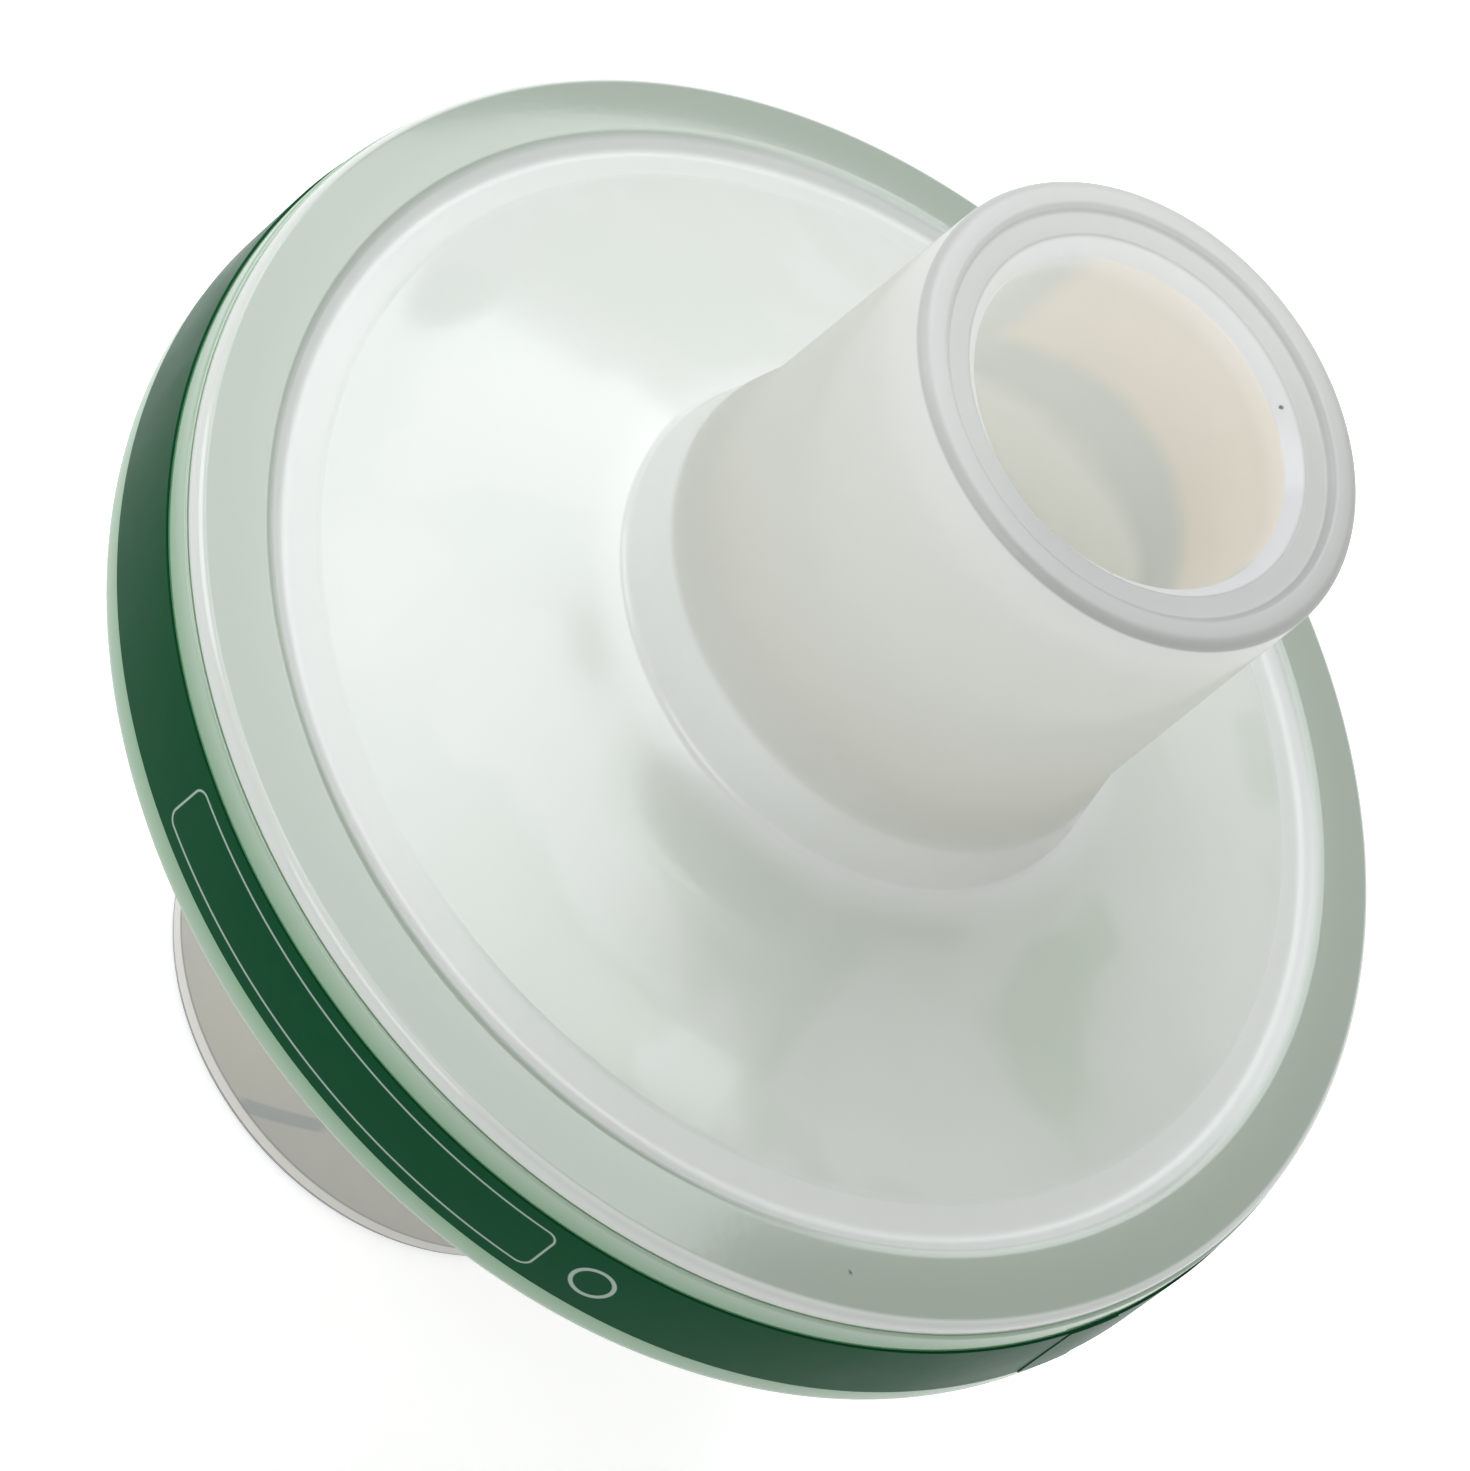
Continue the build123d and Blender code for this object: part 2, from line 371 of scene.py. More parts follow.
def milky_surface(start, place, base, share, through, waves=None, dull=0.0):
    """Milky moulded plastic with a gloss, wavy or dull where asked, which lets a share of light through."""
    frost = start.noise(place.point, 2600.0, 0.0)
    wavy = start.bump(waves, 1.6 * MM) if waves else None
    gloss = start.node("ShaderNodeBsdfPrincipled", None, {
        "Base Color": base,
        "Roughness": start.noise(place.point, 60.0, 1.0) * 0.08 + 0.11 + dull,
        "IOR": 1.62,
        "Specular IOR Level": 0.95,
        "Normal": start.bump(frost, 0.003 * MM, wavy),
    })
    milky = start.node("ShaderNodeBsdfTranslucent", None, {"Color": rgba(through)})
    shader = start.node("ShaderNodeMixShader", None, {0: share, 1: gloss, 2: milky})
    start.node("ShaderNodeOutputMaterial", None, {"Surface": shader})


def dome_colour(start, place, looks, shaded):
    """Milky dome with faint swirls and drifts, stronger on the shaded side, where painted shade also greens
    and darkens it.
    """
    swirled = start.node("ShaderNodeTexNoise", None, {
        "Vector": place.point, "Scale": 48.0, "Detail": 2.0, "Roughness": 0.5, "Distortion": 1.6,
    })
    swirls = swirled.over(0.5, 0.04) * (0.16 + shaded * 0.3)
    drifts = start.noise(place.point, 40.0, 3.0, 0.6).over(0.5, 0.15) * (0.1 + shaded * 0.25)
    # Painted shade: the shaded side is drawn towards the darker, greener colour
    return start.mix(swirls + drifts + shaded * 0.25, looks.dome, looks.cloud_and_shade)


def bore_colour(start, place, looks, sizes):
    """Wall of the socket as painted light and shade: warm light near the mouth on the lit side, shade halfway
    down, pale light at its end, and a painted reflection on the lead-in.
    """
    uneven = (start.noise(place.point, 110.0, 2.0) - 0.5) * (4 * MM)
    depth = PATIENT_END_Z - place.z + uneven
    warm = place.side(WARM_LIGHT_SIDE).over(0.35, 0.14) * (1 - depth.over(8.5 * MM, 0.7 * MM))
    lead_in = place.z.over(PATIENT_END_Z - sizes.lip_step - sizes.lead_in, 0.05 * MM)
    # Painted shade halfway down the socket, painted light at its end, painted warm light near the mouth
    base = start.mix(depth.over(11.5 * MM, 1.0 * MM), looks.bore_painted_shade, looks.bore_painted_light)
    base = start.mix(warm, base, looks.bore_warm_light)
    # Painted bluish reflection on the lead-in
    return start.mix(lead_in, base, looks.lead_in_reflection)


def patient_plastic(looks, sizes):
    """Plastic of the upper half: milky on the dome, greyer on the double wall as painted shade, green over
    the film, with painted light, shade and highlights on groove, boss, end, socket and flange edge.
    """
    material, start = new_material("milky_polypropylene")
    place = Place(start)
    crest = FLANGE_RADIUS - sizes.ring_width
    groove_in = crest - sizes.groove_width - sizes.ramp_width
    boss_top = PARTING_Z + sizes.crest_rise + sizes.foot_rise + sizes.dome_rise + sizes.boss_height
    socket_end = PATIENT_END_Z - sizes.lip_step - sizes.socket_depth
    lip_r = sizes.tube_end - sizes.lip_width

    # Where a point is: each is 1 on its own part of the moulding and 0 elsewhere
    # Painted shade: 1 on the side turned away from the light
    shaded = place.side(SHADED_SIDE).over(0.15, 0.55)
    on_dome = place.radius.between(sizes.boss_foot + 2 * MM, groove_in - 1.5 * MM, 2 * MM)
    on_tube = 1 - place.radius.over(sizes.boss_foot + 0.9 * MM, 0.9 * MM)
    doubled = on_tube * place.z.over(socket_end, 0.3 * MM)
    past_mouth = place.radius.over(sizes.mouth + 0.6 * MM, 0.1 * MM)
    on_end = place.z.over(PATIENT_END_Z - 0.47 * MM, 0.08 * MM) * past_mouth
    # Where a thin ring of painted shade lies, inside the lip
    painted_shade_line = on_end * place.radius.between(lip_r - 0.26 * MM, lip_r - 0.16 * MM, 0.04 * MM)
    in_bore = 1 - past_mouth
    in_groove = place.radius.over(groove_in + 0.1 * MM, 0.3 * MM)
    on_ring = place.radius.over(crest - 0.2 * MM, 0.25 * MM)
    on_edge = place.radius.over(FLANGE_RADIUS - 0.3 * MM, 0.1 * MM) * (1 - on_tube)
    under_edge = on_edge * (1 - place.z.over(PARTING_Z + 0.08 * MM, 0.05 * MM))

    # Two specks of dirt, one on the flange and one at the mouth
    grain = start.noise(place.point, 6000.0, 1.0)
    ring_speck = speck(
        place, radians(46.5), 28.2 * MM, PARTING_Z + 1.4 * MM, 0.2 * MM, grain
    )
    mouth_speck = speck(
        place, radians(154.1), sizes.mouth + 0.3 * MM, PATIENT_END_Z - 0.7 * MM, 0.16 * MM, grain
    )

    # Painted light on the groove, paler than the dome
    base = start.mix(in_groove, dome_colour(start, place, looks, shaded), looks.groove)
    # Painted light on the boss's single wall
    base = start.mix(on_tube, base, looks.boss)
    # Painted shade on the double wall
    base = start.mix(doubled, base, looks.tube)
    # Painted shade on the end face, stronger on the shaded side
    base = start.mix(on_end * (0.72 + shaded * 0.28), base, looks.lip)
    # Thin ring of painted shade in the step inside the lip
    base = start.mix(painted_shade_line * 0.7, base, looks.painted_shade_line)
    # Painted light and shade down the socket wall
    bore = bore_colour(start, place, looks, sizes)
    base = start.mix(in_bore * place.z.over(boss_top - 4 * MM, 0.2 * MM), base, bore)
    base = start.mix(on_ring, base, looks.rim)
    # Painted highlight along the flange's rounded edge
    base = start.mix(on_edge, base, looks.seam)
    base = start.mix(under_edge, base, rim_wall(start, place, looks))
    base = start.mix(ring_speck + mouth_speck, base, looks.dirt)

    share = THROUGH_SHARE + doubled * (0.37 - shaded * 0.03) - in_bore * on_tube * 0.12
    share = share - on_end * (0.42 + shaded * 0.05) - on_ring * 0.12 - on_edge * 0.16 - mouth_speck * 0.5
    waves = (start.noise(place.point, 40.0, 1.0) - 0.5) * (on_dome + on_ring * 0.3)
    dull = in_groove * (1 - on_ring) * 0.16 + on_end * 0.25
    milky_surface(start, place, base, share, looks.through, waves, dull)
    return material


def machine_reflection_streak(place):
    """1 on a short slanting streak of painted reflection on the machine tube, under the film's frame."""
    along = (place.angle() - radians(1.1)) * (12.7 * MM)
    beside = place.z - along * 1.06 - 2.7 * MM
    within = 1 - along.maths("ABSOLUTE", along).over(1.7 * MM, 0.3 * MM)
    return within * beside.between(-0.55 * MM, 0.55 * MM, 0.12 * MM)


def machine_plastic(looks, sizes):
    """The same plastic on the lower half, with the green of the film in its rim."""
    material, start = new_material("milky_polypropylene_lower")
    place = Place(start)
    ring_in = RIM_RADIUS - sizes.ring_width
    on_edge = 1 - place.z.over(1.05 * MM, 0.06 * MM)
    edge_line = place.z.between(1.05 * MM, 1.18 * MM, 0.03 * MM)
    end_line = 1 - place.z.over(0.47 * MM, 0.05 * MM)
    on_rim = place.radius.over(ring_in + 1.5 * MM, 1.5 * MM)
    uneven = start.noise(place.point, 70.0, 2.0).over(0.5, 0.2)

    base = start.mix(uneven, looks.machine, looks.machine_grey)
    # Painted bluish reflection streak
    base = start.mix(machine_reflection_streak(place) * 0.8, base, looks.machine_reflection_streak)
    # Painted highlight along the rounded end of the tube
    base = start.mix(on_edge, base, looks.machine_edge_highlight)
    # Two thin lines of painted shade beside the bright edge
    base = start.mix(edge_line * 0.7, base, looks.painted_shade_line)
    base = start.mix(end_line * 0.85, base, looks.painted_shade_line)
    base = start.mix(place.z.over(sizes.hub, 1.0 * MM), base, looks.dome)
    base = start.mix(on_rim, base, rim_wall(start, place, looks))
    share = THROUGH_SHARE - on_edge * 0.38 - on_rim * 0.28
    milky_surface(start, place, base, share, looks.through)
    return material


def printed_film(looks):
    """Dark green film with a thin printed frame and a plain ring."""
    material, start = new_material("printed_film")
    place = Place(start)
    mid_z = (LABEL_LOW.z + LABEL_HIGH.z) / 2
    along = place.angle() * RIM_RADIUS
    across = place.z - mid_z
    frame_at = radians(-1.0) * RIM_RADIUS
    frame_line = box_line(along, across, frame_at, 12.4 * MM, 1.45 * MM, 0.6 * MM, 0.10 * MM)
    ring_at = radians(27.4) * RIM_RADIUS
    away = ((along - ring_at) ** 2 + across ** 2) ** 0.5
    ring = away.between(0.85 * MM, 1.05 * MM, 0.03 * MM)
    inked = frame_line.maths("MAXIMUM", frame_line, ring)
    mottle = start.noise(place.point, 900.0, 3.0)
    film = start.mix(mottle * 0.6, looks.film, [part * 0.7 for part in looks.film])
    base = start.mix(inked, film, looks.print)
    grain = start.noise(place.point, 5200.0, 2.0)
    surface(start, {
        "Base Color": base,
        "Roughness": start.noise(place.point, 420.0, 2.0) * 0.12 + 0.30,
        "Specular IOR Level": 0.05,
        "Normal": start.bump(grain, 0.004 * MM),
    })
    return material


def box_line(along, across, middle, half_length, half_height, corner, line):
    """1 on the outline of a box with rounded corners, drawn on the film."""
    out_x = (along - middle).maths("ABSOLUTE", along - middle) - (half_length - corner)
    out_y = across.maths("ABSOLUTE", across) - (half_height - corner)
    beyond = (out_x.maths("MAXIMUM", out_x, 0.0) ** 2 + out_y.maths("MAXIMUM", out_y, 0.0) ** 2) ** 0.5
    inside = out_x.maths("MAXIMUM", out_x, out_y)
    distance = beyond + inside.maths("MINIMUM", inside, 0.0) - corner
    return distance.between(-line, 0.0, line * 0.3)


def felt(looks):
    """White needled felt with crossing fibres."""
    material, start = new_material("needled_felt")
    place = Place(start)
    fibres = start.noise(place.point, 3200.0, 6.0, 0.7)
    clumps = start.noise(place.point, 420.0, 3.0)
    base = start.mix(clumps * 0.6 + fibres * 0.3, looks.felt, [part * 0.8 for part in looks.felt])
    surface(start, {
        "Base Color": base,
        "Roughness": 0.95,
        "Sheen Weight": 0.4,
        "Normal": start.bump(fibres + clumps, 0.12 * MM),
    })
    return material


def crimped_paper(looks):
    """Off-white paper, wound up so that its crimped edges show as rings, with painted shade down in the
    crimps' valleys.
    """
    material, start = new_material("crimped_paper")
    place = Place(start)
    turn = place.radius / (1.1 * MM) + place.angle() / (2 * pi)
    ripple = place.angle() * (place.radius / (1.6 * MM))
    zigzag = turn.maths("SINE", ripple * 2 * pi) * 0.2
    ridge = turn.maths("PINGPONG", turn + zigzag, 0.5) * 2
    # Painted shade: darker down in each crimp's valley
    base = start.mix(ridge, [part * 0.6 for part in looks.paper], looks.paper)
    fibres = start.noise(place.point, 3000.0, 4.0)
    surface(start, {
        "Base Color": start.mix(fibres * 0.3, base, looks.felt),
        "Roughness": 0.9,
        "Normal": start.bump(ridge + fibres * 0.2, 0.5 * MM),
    })
    return material


def studio_floor(looks):
    """Pale matt floor that the camera, gloss and clear pieces see a little brighter, with its shadow kept."""
    material, start = new_material("studio_floor")
    seen = start.node("ShaderNodeLightPath", None, None, "Is Camera Ray")
    glossy = start.node("ShaderNodeLightPath", None, None, "Is Glossy Ray")
    clear = start.node("ShaderNodeLightPath", None, None, "Is Transmission Ray")
    matt = start.node("ShaderNodeBsdfDiffuse", None, {"Color": rgba(looks.floor)})
    glow = start.node("ShaderNodeEmission", None, {"Color": rgba(looks.floor), "Strength": 0.74})
    bright = start.node("ShaderNodeAddShader", None, {0: matt, 1: glow})
    seen_or = seen.maths("MAXIMUM", seen, glossy.maths("MAXIMUM", glossy, clear))
    mixed = start.node("ShaderNodeMixShader", None, {0: seen_or, 1: matt, 2: bright})
    start.node("ShaderNodeOutputMaterial", None, {"Surface": mixed})
    return material


def rounded(corners):
    """Closed outline through corners of (radius, height, rounding), with an arc at each rounded corner."""
    points = []
    count = len(corners)
    for number, (x, z, rounding) in enumerate(corners):
        here = Vector((x, z))
        back = (Vector(corners[number - 1][:2]) - here)
        on = (Vector(corners[(number + 1) % count][:2]) - here)
        half = back.angle(on) / 2
        if rounding <= 0 or half > radians(89):
            points.append(here)
            continue
        cut = min(rounding / tan(half), 0.45 * back.length, 0.45 * on.length)
        radius = cut * tan(half)
        centre = here + (back.normalized() + on.normalized()).normalized() * (radius / sin(half))
        first = here + back.normalized() * cut - centre
        last = here + on.normalized() * cut - centre
        turn = first.angle_signed(last)
        steps = max(3, round(abs(turn) / radians(11)))
        for step in range(steps + 1):
            points.append(centre + spun(first, turn * step / steps))
    return points


def spun(vector, angle):
    """A flat vector turned clockwise by an angle, as angle_signed counts it."""
    return Vector((
        vector.x * cos(angle) + vector.y * sin(angle),
        -vector.x * sin(angle) + vector.y * cos(angle),
    ))


def draw_outline(name, points):
    """New piece with a closed line in the XZ plane, drawn by extruding one corner from point to point."""
    bpy.ops.object.select_all(action="DESELECT")
    bpy.ops.mesh.primitive_plane_add(size=MM, location=(0, 0, 0))
    piece = bpy.context.object
    piece.name = name
    bpy.ops.object.mode_set(mode="EDIT")
    bpy.ops.mesh.select_mode(type="VERT")
    bpy.ops.mesh.select_all(action="SELECT")
    bpy.ops.mesh.merge(type="CENTER")
    bpy.ops.transform.translate(value=(points[0].x, 0, points[0].y))
    for before, after in zip(points, points[1:] + points[:1]):
        step = after - before
        bpy.ops.mesh.extrude_region_move(TRANSFORM_OT_translate={"value": (step.x, 0, step.y)})
    bpy.ops.mesh.select_all(action="SELECT")
    bpy.ops.mesh.remove_doubles(threshold=SAME_POINT)
    return piece


def turn_piece(name, corners):
    """Solid piece turned about the axis from its outline."""
    piece = draw_outline(name, rounded(corners))
    bpy.ops.mesh.select_all(action="SELECT")
    bpy.ops.mesh.spin(steps=TURN_STEPS, angle=2 * pi, center=(0, 0, 0), axis=(0, 0, 1))
    bpy.ops.mesh.select_all(action="SELECT")
    bpy.ops.mesh.remove_doubles(threshold=SAME_POINT)
    bpy.ops.mesh.normals_make_consistent(inside=False)
    bpy.ops.object.mode_set(mode="OBJECT")
    bpy.ops.object.shade_smooth_by_angle(angle=SMOOTH_ANGLE)
    return piece


def add_ribs(piece, corners, sizes):
    """Adds flat ribs round the axis to a piece, each with its outline in a plane through the axis."""
    ribs = []
    for number in range(sizes.count):
        rib = draw_outline("rib", [Vector(corner) for corner in corners])
        bpy.ops.mesh.select_all(action="SELECT")
        bpy.ops.mesh.edge_face_add()
        bpy.ops.transform.translate(value=(0, -sizes.thickness / 2, 0))
        bpy.ops.mesh.extrude_region_move(TRANSFORM_OT_translate={"value": (0, sizes.thickness, 0)})
        bpy.ops.mesh.select_all(action="SELECT")
        bpy.ops.mesh.normals_make_consistent(inside=False)
        bpy.ops.transform.rotate(
            value=2 * pi / sizes.count * number, orient_axis="Z", center_override=(0, 0, 0)
        )
        bpy.ops.object.mode_set(mode="OBJECT")
        ribs.append(rib)
    bpy.ops.object.select_all(action="DESELECT")
    for part in [*ribs, piece]:
        part.select_set(True)
    bpy.context.view_layer.objects.active = piece
    bpy.ops.object.join()


def finish_piece(piece, node, material):
    """Gives a piece its material and its body, and hides the node that it stands for."""
    piece.data.materials.clear()
    piece.data.materials.append(material)
    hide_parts(node)
    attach(piece, "root")


def patient_corners(sizes):
    """Outline of the upper moulding, from the flange's edge over the dome and tube and back inside."""
    crest_r = FLANGE_RADIUS - sizes.ring_width
    crest_z = PARTING_Z + sizes.crest_rise
    groove_r = crest_r - sizes.groove_width
    groove_z = crest_z - sizes.groove_depth
    foot_r = groove_r - sizes.ramp_width
    foot_z = crest_z + sizes.foot_rise
    boss_foot_z = foot_z + sizes.dome_rise
    boss_top_z = boss_foot_z + sizes.boss_height
    root_r = sizes.tube_end + (PATIENT_END_Z - boss_top_z) * TUBE_TAPER
    lip_r = sizes.tube_end - sizes.lip_width
    lip_z = PATIENT_END_Z - sizes.lip_step
    socket_z = lip_z - sizes.socket_depth
    throat_r = sizes.mouth - sizes.socket_depth * TUBE_TAPER
    web_z = PATIENT_END_Z - sizes.end_web
    slope = (foot_z - boss_foot_z) / (foot_r - sizes.boss_foot)
    drop = sizes.wall * hypot(1, slope)
    inner_boss_r = sizes.boss_foot - sizes.wall
    tongue_outer_r = RIM_RADIUS - 1.6 * MM
    tongue_inner_r = tongue_outer_r - sizes.tongue

    def under(radius):
        return foot_z - drop + (radius - foot_r) * slope

    return [
        (FLANGE_RADIUS, PARTING_Z, 0.12 * MM),
        (FLANGE_RADIUS, PARTING_Z + 0.9 * MM, 0.55 * MM),
        (crest_r, crest_z, 0.7 * MM),
        (groove_r, groove_z, 0.6 * MM),
        (foot_r, foot_z, 0.8 * MM),
        (sizes.boss_foot, boss_foot_z, 0.5 * MM),
        (root_r, boss_top_z, 6 * MM),
        (sizes.tube_end, PATIENT_END_Z, 0.6 * MM),
        (lip_r, PATIENT_END_Z, 0.25 * MM),
        (lip_r - 0.3 * MM, lip_z, 0.15 * MM),
        (sizes.mouth + sizes.lead_in, lip_z, 0.2 * MM),
        (sizes.mouth, lip_z - sizes.lead_in, 0.25 * MM),
        (throat_r, socket_z, 0.2 * MM),
        (throat_r + sizes.socket_wall, socket_z, 0.2 * MM),
        (sizes.mouth + sizes.socket_wall, web_z, 0.3 * MM),
        (sizes.tube_end - sizes.tube_wall, web_z, 0.3 * MM),
        (root_r - sizes.tube_wall, boss_top_z, 6 * MM),
        (inner_boss_r, under(inner_boss_r), 0.5 * MM),
        (foot_r, under(foot_r), 0.3 * MM),
        (groove_r, groove_z - sizes.groove_wall, 0.2 * MM),
        (tongue_inner_r, groove_z - sizes.groove_wall, 0.2 * MM),
        (tongue_inner_r, FELT_HIGH.z, 0.1 * MM),
        (tongue_outer_r, FELT_HIGH.z, 0.1 * MM),
        (tongue_outer_r, PARTING_Z, 0.0),
    ]


def patient_rib_corners(sizes, inner_end, sunk):
    """Outline of a rib under the dome, from the pad up to the dome and a little into it."""
    corners = patient_corners(sizes)
    boss, foot, groove, tongue = [Vector(corner[:2]) for corner in corners[17:21]]
    return [
        (inner_end, PAD_HIGH.z),
        (tongue.x + sunk, PAD_HIGH.z),
        (tongue.x + sunk, tongue.y + sunk),
        (groove.x, groove.y + sunk),
        (foot.x, foot.y + sunk),
        (boss.x, boss.y + sunk),
        (inner_end, boss.y),
    ]


def machine_corners(sizes):
    """Outline of the lower moulding, from the tube's end up the outside and back down through the bore."""
    root_r = sizes.mouth - sizes.hub * TUBE_TAPER + sizes.tube_wall
    foot_r = RIM_RADIUS - sizes.ring_width
    foot_z = sizes.hub + sizes.dome_rise
    slope = sizes.dome_rise / (foot_r - root_r)
    drop = sizes.wall * hypot(1, slope)
    inside_r = RIM_RADIUS - sizes.rim_wall
    seat_z = FELT_LOW.z
    floor_z = sizes.socket_depth
    hub_z = floor_z + sizes.socket_floor
    cone_root_r = sizes.cone_end + (floor_z - sizes.cone_setback) * TUBE_TAPER
    socket_end_r = sizes.mouth - floor_z * TUBE_TAPER

    def inner_r(height):
        return root_r + (height - sizes.hub - drop) / slope

    return [
        (sizes.mouth + sizes.tube_wall, 0.0, 0.5 * MM),
        (root_r, sizes.hub, 0.5 * MM),
        (foot_r, foot_z, 0.5 * MM),
        (RIM_RADIUS, foot_z, 0.7 * MM),
        (RIM_RADIUS, PARTING_Z, 0.15 * MM),
        (inside_r, PARTING_Z, 0.1 * MM),
        (inside_r, seat_z, 0.2 * MM),
        (inner_r(seat_z), seat_z, 0.3 * MM),
        (inner_r(hub_z), hub_z, 0.3 * MM),
        (sizes.bore, hub_z, 0.5 * MM),
        (sizes.bore, sizes.cone_setback, 0.3 * MM),
        (sizes.cone_end, sizes.cone_setback, 0.5 * MM),
        (cone_root_r, floor_z, 0.3 * MM),
        (socket_end_r, floor_z, 0.3 * MM),
        (sizes.mouth, 0.0, 0.5 * MM),
    ]


def machine_rib_corners(sizes, inner_end, sunk):
    """Outline of a rib over the lower dome, from a little inside the dome up to the felt."""
    seat, hub = [Vector(corner[:2]) for corner in machine_corners(sizes)[7:9]]
    return [(inner_end, hub.y - sunk), (hub.x, hub.y - sunk), (seat.x + sunk, seat.y), (inner_end, seat.y)]


class MESH_OT_filter_patient_housing(bpy.types.Operator):
    """Add the upper moulding with its dome and double-walled patient tube"""

    bl_idname = "mesh.filter_patient_housing"
    bl_label = "Patient Housing"

    def execute(self, context):
        sizes = context.scene.filter_patient
        ribs = context.scene.filter_ribs
        plastic = patient_plastic(context.scene.filter_looks, sizes)
        piece = turn_piece("patient_moulding", patient_corners(sizes))
        add_ribs(piece, patient_rib_corners(sizes, ribs.inner_end, 0.2 * MM), ribs)
        finish_piece(piece, "patient_housing", plastic)
        return {"FINISHED"}


class MESH_OT_filter_machine_housing(bpy.types.Operator):
    """Add the lower moulding with its rim wall and machine tube"""

    bl_idname = "mesh.filter_machine_housing"
    bl_label = "Machine Housing"

    def execute(self, context):
        sizes = context.scene.filter_machine
        ribs = context.scene.filter_ribs
        plastic = machine_plastic(context.scene.filter_looks, sizes)
        piece = turn_piece("machine_moulding", machine_corners(sizes))
        add_ribs(piece, machine_rib_corners(sizes, ribs.inner_end, 0.2 * MM), ribs)
        finish_piece(piece, "machine_housing", plastic)
        return {"FINISHED"}


def add_flap(piece, outer_r, sizes):
    """Raises the film over its own thickness where its end laps over its start."""
    bpy.ops.object.mode_set(mode="EDIT")
    bpy.ops.mesh.select_mode(type="FACE")
    bpy.ops.mesh.select_all(action="DESELECT")
    bpy.ops.object.mode_set(mode="OBJECT")
    for face in piece.data.polygons:
        middle = face.center
        turned = atan2(middle.y, middle.x) - sizes.seam_angle
        outside = face.normal.x * middle.x + face.normal.y * middle.y > 0.9 * outer_r
        face.select = outside and abs(turned) * outer_r < sizes.overlap / 2
    bpy.ops.object.mode_set(mode="EDIT")
    bpy.ops.mesh.extrude_region_move()
    grow = 1 + sizes.lift / outer_r
    bpy.ops.transform.resize(value=(grow, grow, 1), center_override=(0, 0, 0))
    bpy.ops.object.mode_set(mode="OBJECT")
    bpy.ops.object.shade_smooth_by_angle(angle=SMOOTH_ANGLE)


class MESH_OT_filter_label(bpy.types.Operator):
    """Add the printed film round the rim, with its overlapping end"""

    bl_idname = "mesh.filter_label"
    bl_label = "Label"

    def execute(self, context):
        outer_r = LABEL_HIGH.y
        corners = [
            (RIM_RADIUS, LABEL_LOW.z, 0.0),
            (outer_r, LABEL_LOW.z, 0.03 * MM),
            (outer_r, LABEL_HIGH.z, 0.03 * MM),
            (RIM_RADIUS, LABEL_HIGH.z, 0.0),
        ]
        piece = turn_piece("label_film", corners)
        add_flap(piece, outer_r, context.scene.filter_label)
        finish_piece(piece, "label_band", printed_film(context.scene.filter_looks))
        return {"FINISHED"}


class MESH_OT_filter_media(bpy.types.Operator):
    """Dress the felt and the exchanger pad"""

    bl_idname = "mesh.filter_media"
    bl_label = "Felt and Pad"

    def execute(self, context):
        looks = context.scene.filter_looks
        for node, material in (("filter_media", felt(looks)), ("hme_element", crimped_paper(looks))):
            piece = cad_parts[node]
            piece.data.materials.clear()
            piece.data.materials.append(material)
        return {"FINISHED"}


class SCENE_OT_filter_stage(bpy.types.Operator):
    """Add the floor, the lights, the sky and the camera"""

    bl_idname = "scene.filter_stage"
    bl_label = "Stage"

    def execute(self, context):
        scene = context.scene
        stage = scene.filter_stage
        bpy.ops.object.select_all(action="DESELECT")
        bpy.ops.mesh.primitive_plane_add(size=6, location=(0, 0, 0))
        floor = context.object
        floor.name = "studio_floor"
        floor.data.materials.append(studio_floor(scene.filter_looks))
        add_softbox("key_softbox", (-0.215, 0.322, 0.81), (0.84, 1.10), stage.key)
        add_softbox("side_softbox", (-0.95, -0.25, 0.45), (0.6, 0.6), stage.side)
        add_softbox("front_softbox", (-0.10, -0.95, 0.30), (0.7, 0.5), stage.front)
        add_sky(scene, stage.sky)
        add_camera(scene, stage)
        scene.view_settings.view_transform = "Standard"
        scene.cycles.use_denoising = True
        scene.cycles.debug_use_spatial_splits = True
        scene.cycles.light_sampling_threshold = 0.05
        scene.cycles.max_bounces = 14
        scene.cycles.diffuse_bounces = 7
        return {"FINISHED"}


def add_softbox(name, place, size, power):
    """Soft rectangular light that faces the middle of the filter."""
    bpy.ops.object.light_add(type="AREA", location=place)
    light = bpy.context.object
    light.name = name
    light.data.shape = "RECTANGLE"
    light.data.size, light.data.size_y = size
    light.data.energy = power
    light.data.color = (0.945, 0.975, 1.0)
    aim = Vector((0, 0, 35 * MM)) - Vector(place)
    light.rotation_euler = aim.to_track_quat("-Z", "Y").to_euler()


def add_sky(scene, strength):
    """Even light from all round, which the camera, gloss and clear pieces see as white."""
    world = bpy.data.worlds.new("studio_sky")
    scene.world = world
    world.use_nodes = True
    world.node_tree.nodes.clear()
    start = Shade(world.node_tree)
    seen = start.node("ShaderNodeLightPath", None, None, "Is Camera Ray")
    glossy = start.node("ShaderNodeLightPath", None, None, "Is Glossy Ray")
    clear = start.node("ShaderNodeLightPath", None, None, "Is Transmission Ray")
    even = start.node("ShaderNodeBackground", None, {"Color": (1, 1, 1, 1), "Strength": strength})
    white = start.node("ShaderNodeBackground", None, {"Color": (1, 1, 1, 1), "Strength": 1.0})
    seen_or = seen.maths("MAXIMUM", seen, glossy.maths("MAXIMUM", glossy, clear))
    mixed = start.node("ShaderNodeMixShader", None, {0: seen_or, 1: even, 2: white})
    start.node("ShaderNodeOutputWorld", None, {"Surface": mixed})


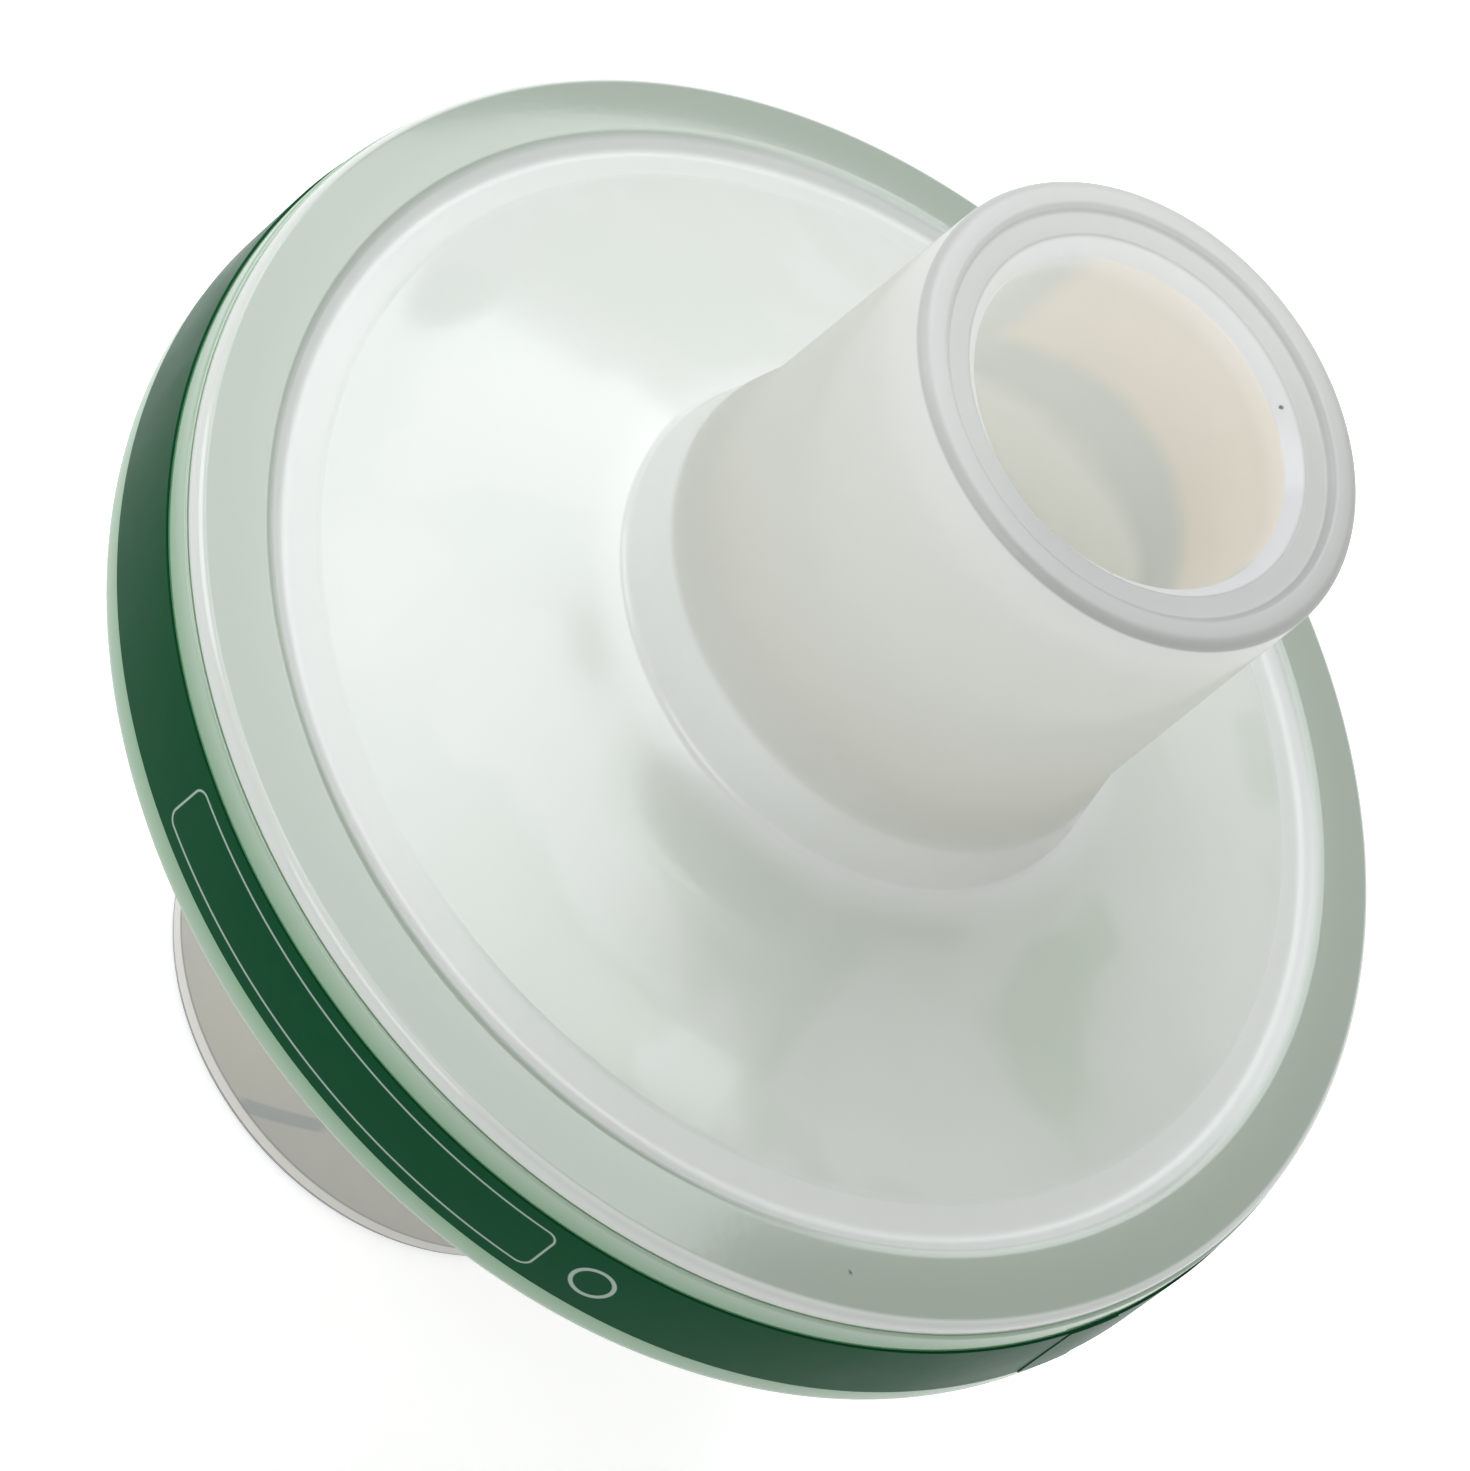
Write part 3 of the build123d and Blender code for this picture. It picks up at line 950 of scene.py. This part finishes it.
def add_camera(scene, stage):
    """Camera at the photograph's angle, turned about its own axis as the photograph is."""
    target = Vector(stage.target)
    back = Vector((0, -cos(stage.elevation), sin(stage.elevation)))
    bpy.ops.object.camera_add(location=target + back * stage.distance)
    camera = bpy.context.object
    camera.name = "photo_camera"
    turned = (-back).to_track_quat("-Z", "Y").to_matrix().to_4x4() @ Matrix.Rotation(stage.roll, 4, "Z")
    camera.matrix_world = Matrix.Translation(camera.location) @ turned
    camera.data.lens = stage.lens
    camera.data.sensor_width = 36
    camera.data.clip_start = 0.01
    scene.camera = camera


class VIEW3D_PT_filter(bpy.types.Panel):
    bl_label = "Breathing Filter"
    bl_space_type = "VIEW_3D"
    bl_region_type = "UI"
    bl_category = "Breathing Filter"

    def draw(self, context):
        column = self.layout.column()
        for step in STEPS:
            column.operator(step.bl_idname)
        for group in GROUPS:
            settings = getattr(context.scene, group)
            box = self.layout.box()
            for name in settings.bl_rna.properties.keys():
                if name not in ("rna_type", "name"):
                    box.prop(settings, name)


STEPS = (
    MESH_OT_filter_patient_housing,
    MESH_OT_filter_machine_housing,
    MESH_OT_filter_label,
    MESH_OT_filter_media,
    SCENE_OT_filter_stage,
)
GROUPS = {
    "filter_patient": PatientHousingSizes,
    "filter_machine": MachineHousingSizes,
    "filter_label": LabelSizes,
    "filter_ribs": RibSizes,
    "filter_looks": FilterLooks,
    "filter_stage": StageSettings,
}


def register():
    for name, group in GROUPS.items():
        bpy.utils.register_class(group)
        setattr(bpy.types.Scene, name, bpy.props.PointerProperty(type=group))
    for cls in (*STEPS, VIEW3D_PT_filter):
        bpy.utils.register_class(cls)


def unregister():
    for cls in reversed((*STEPS, VIEW3D_PT_filter)):
        bpy.utils.unregister_class(cls)
    for name, group in reversed(GROUPS.items()):
        delattr(bpy.types.Scene, name)
        bpy.utils.unregister_class(group)


def main():
    register()
    bpy.ops.mesh.filter_patient_housing()
    bpy.ops.mesh.filter_machine_housing()
    bpy.ops.mesh.filter_label()
    bpy.ops.mesh.filter_media()
    bpy.ops.scene.filter_stage()


if __name__ == "__main__":
    main()
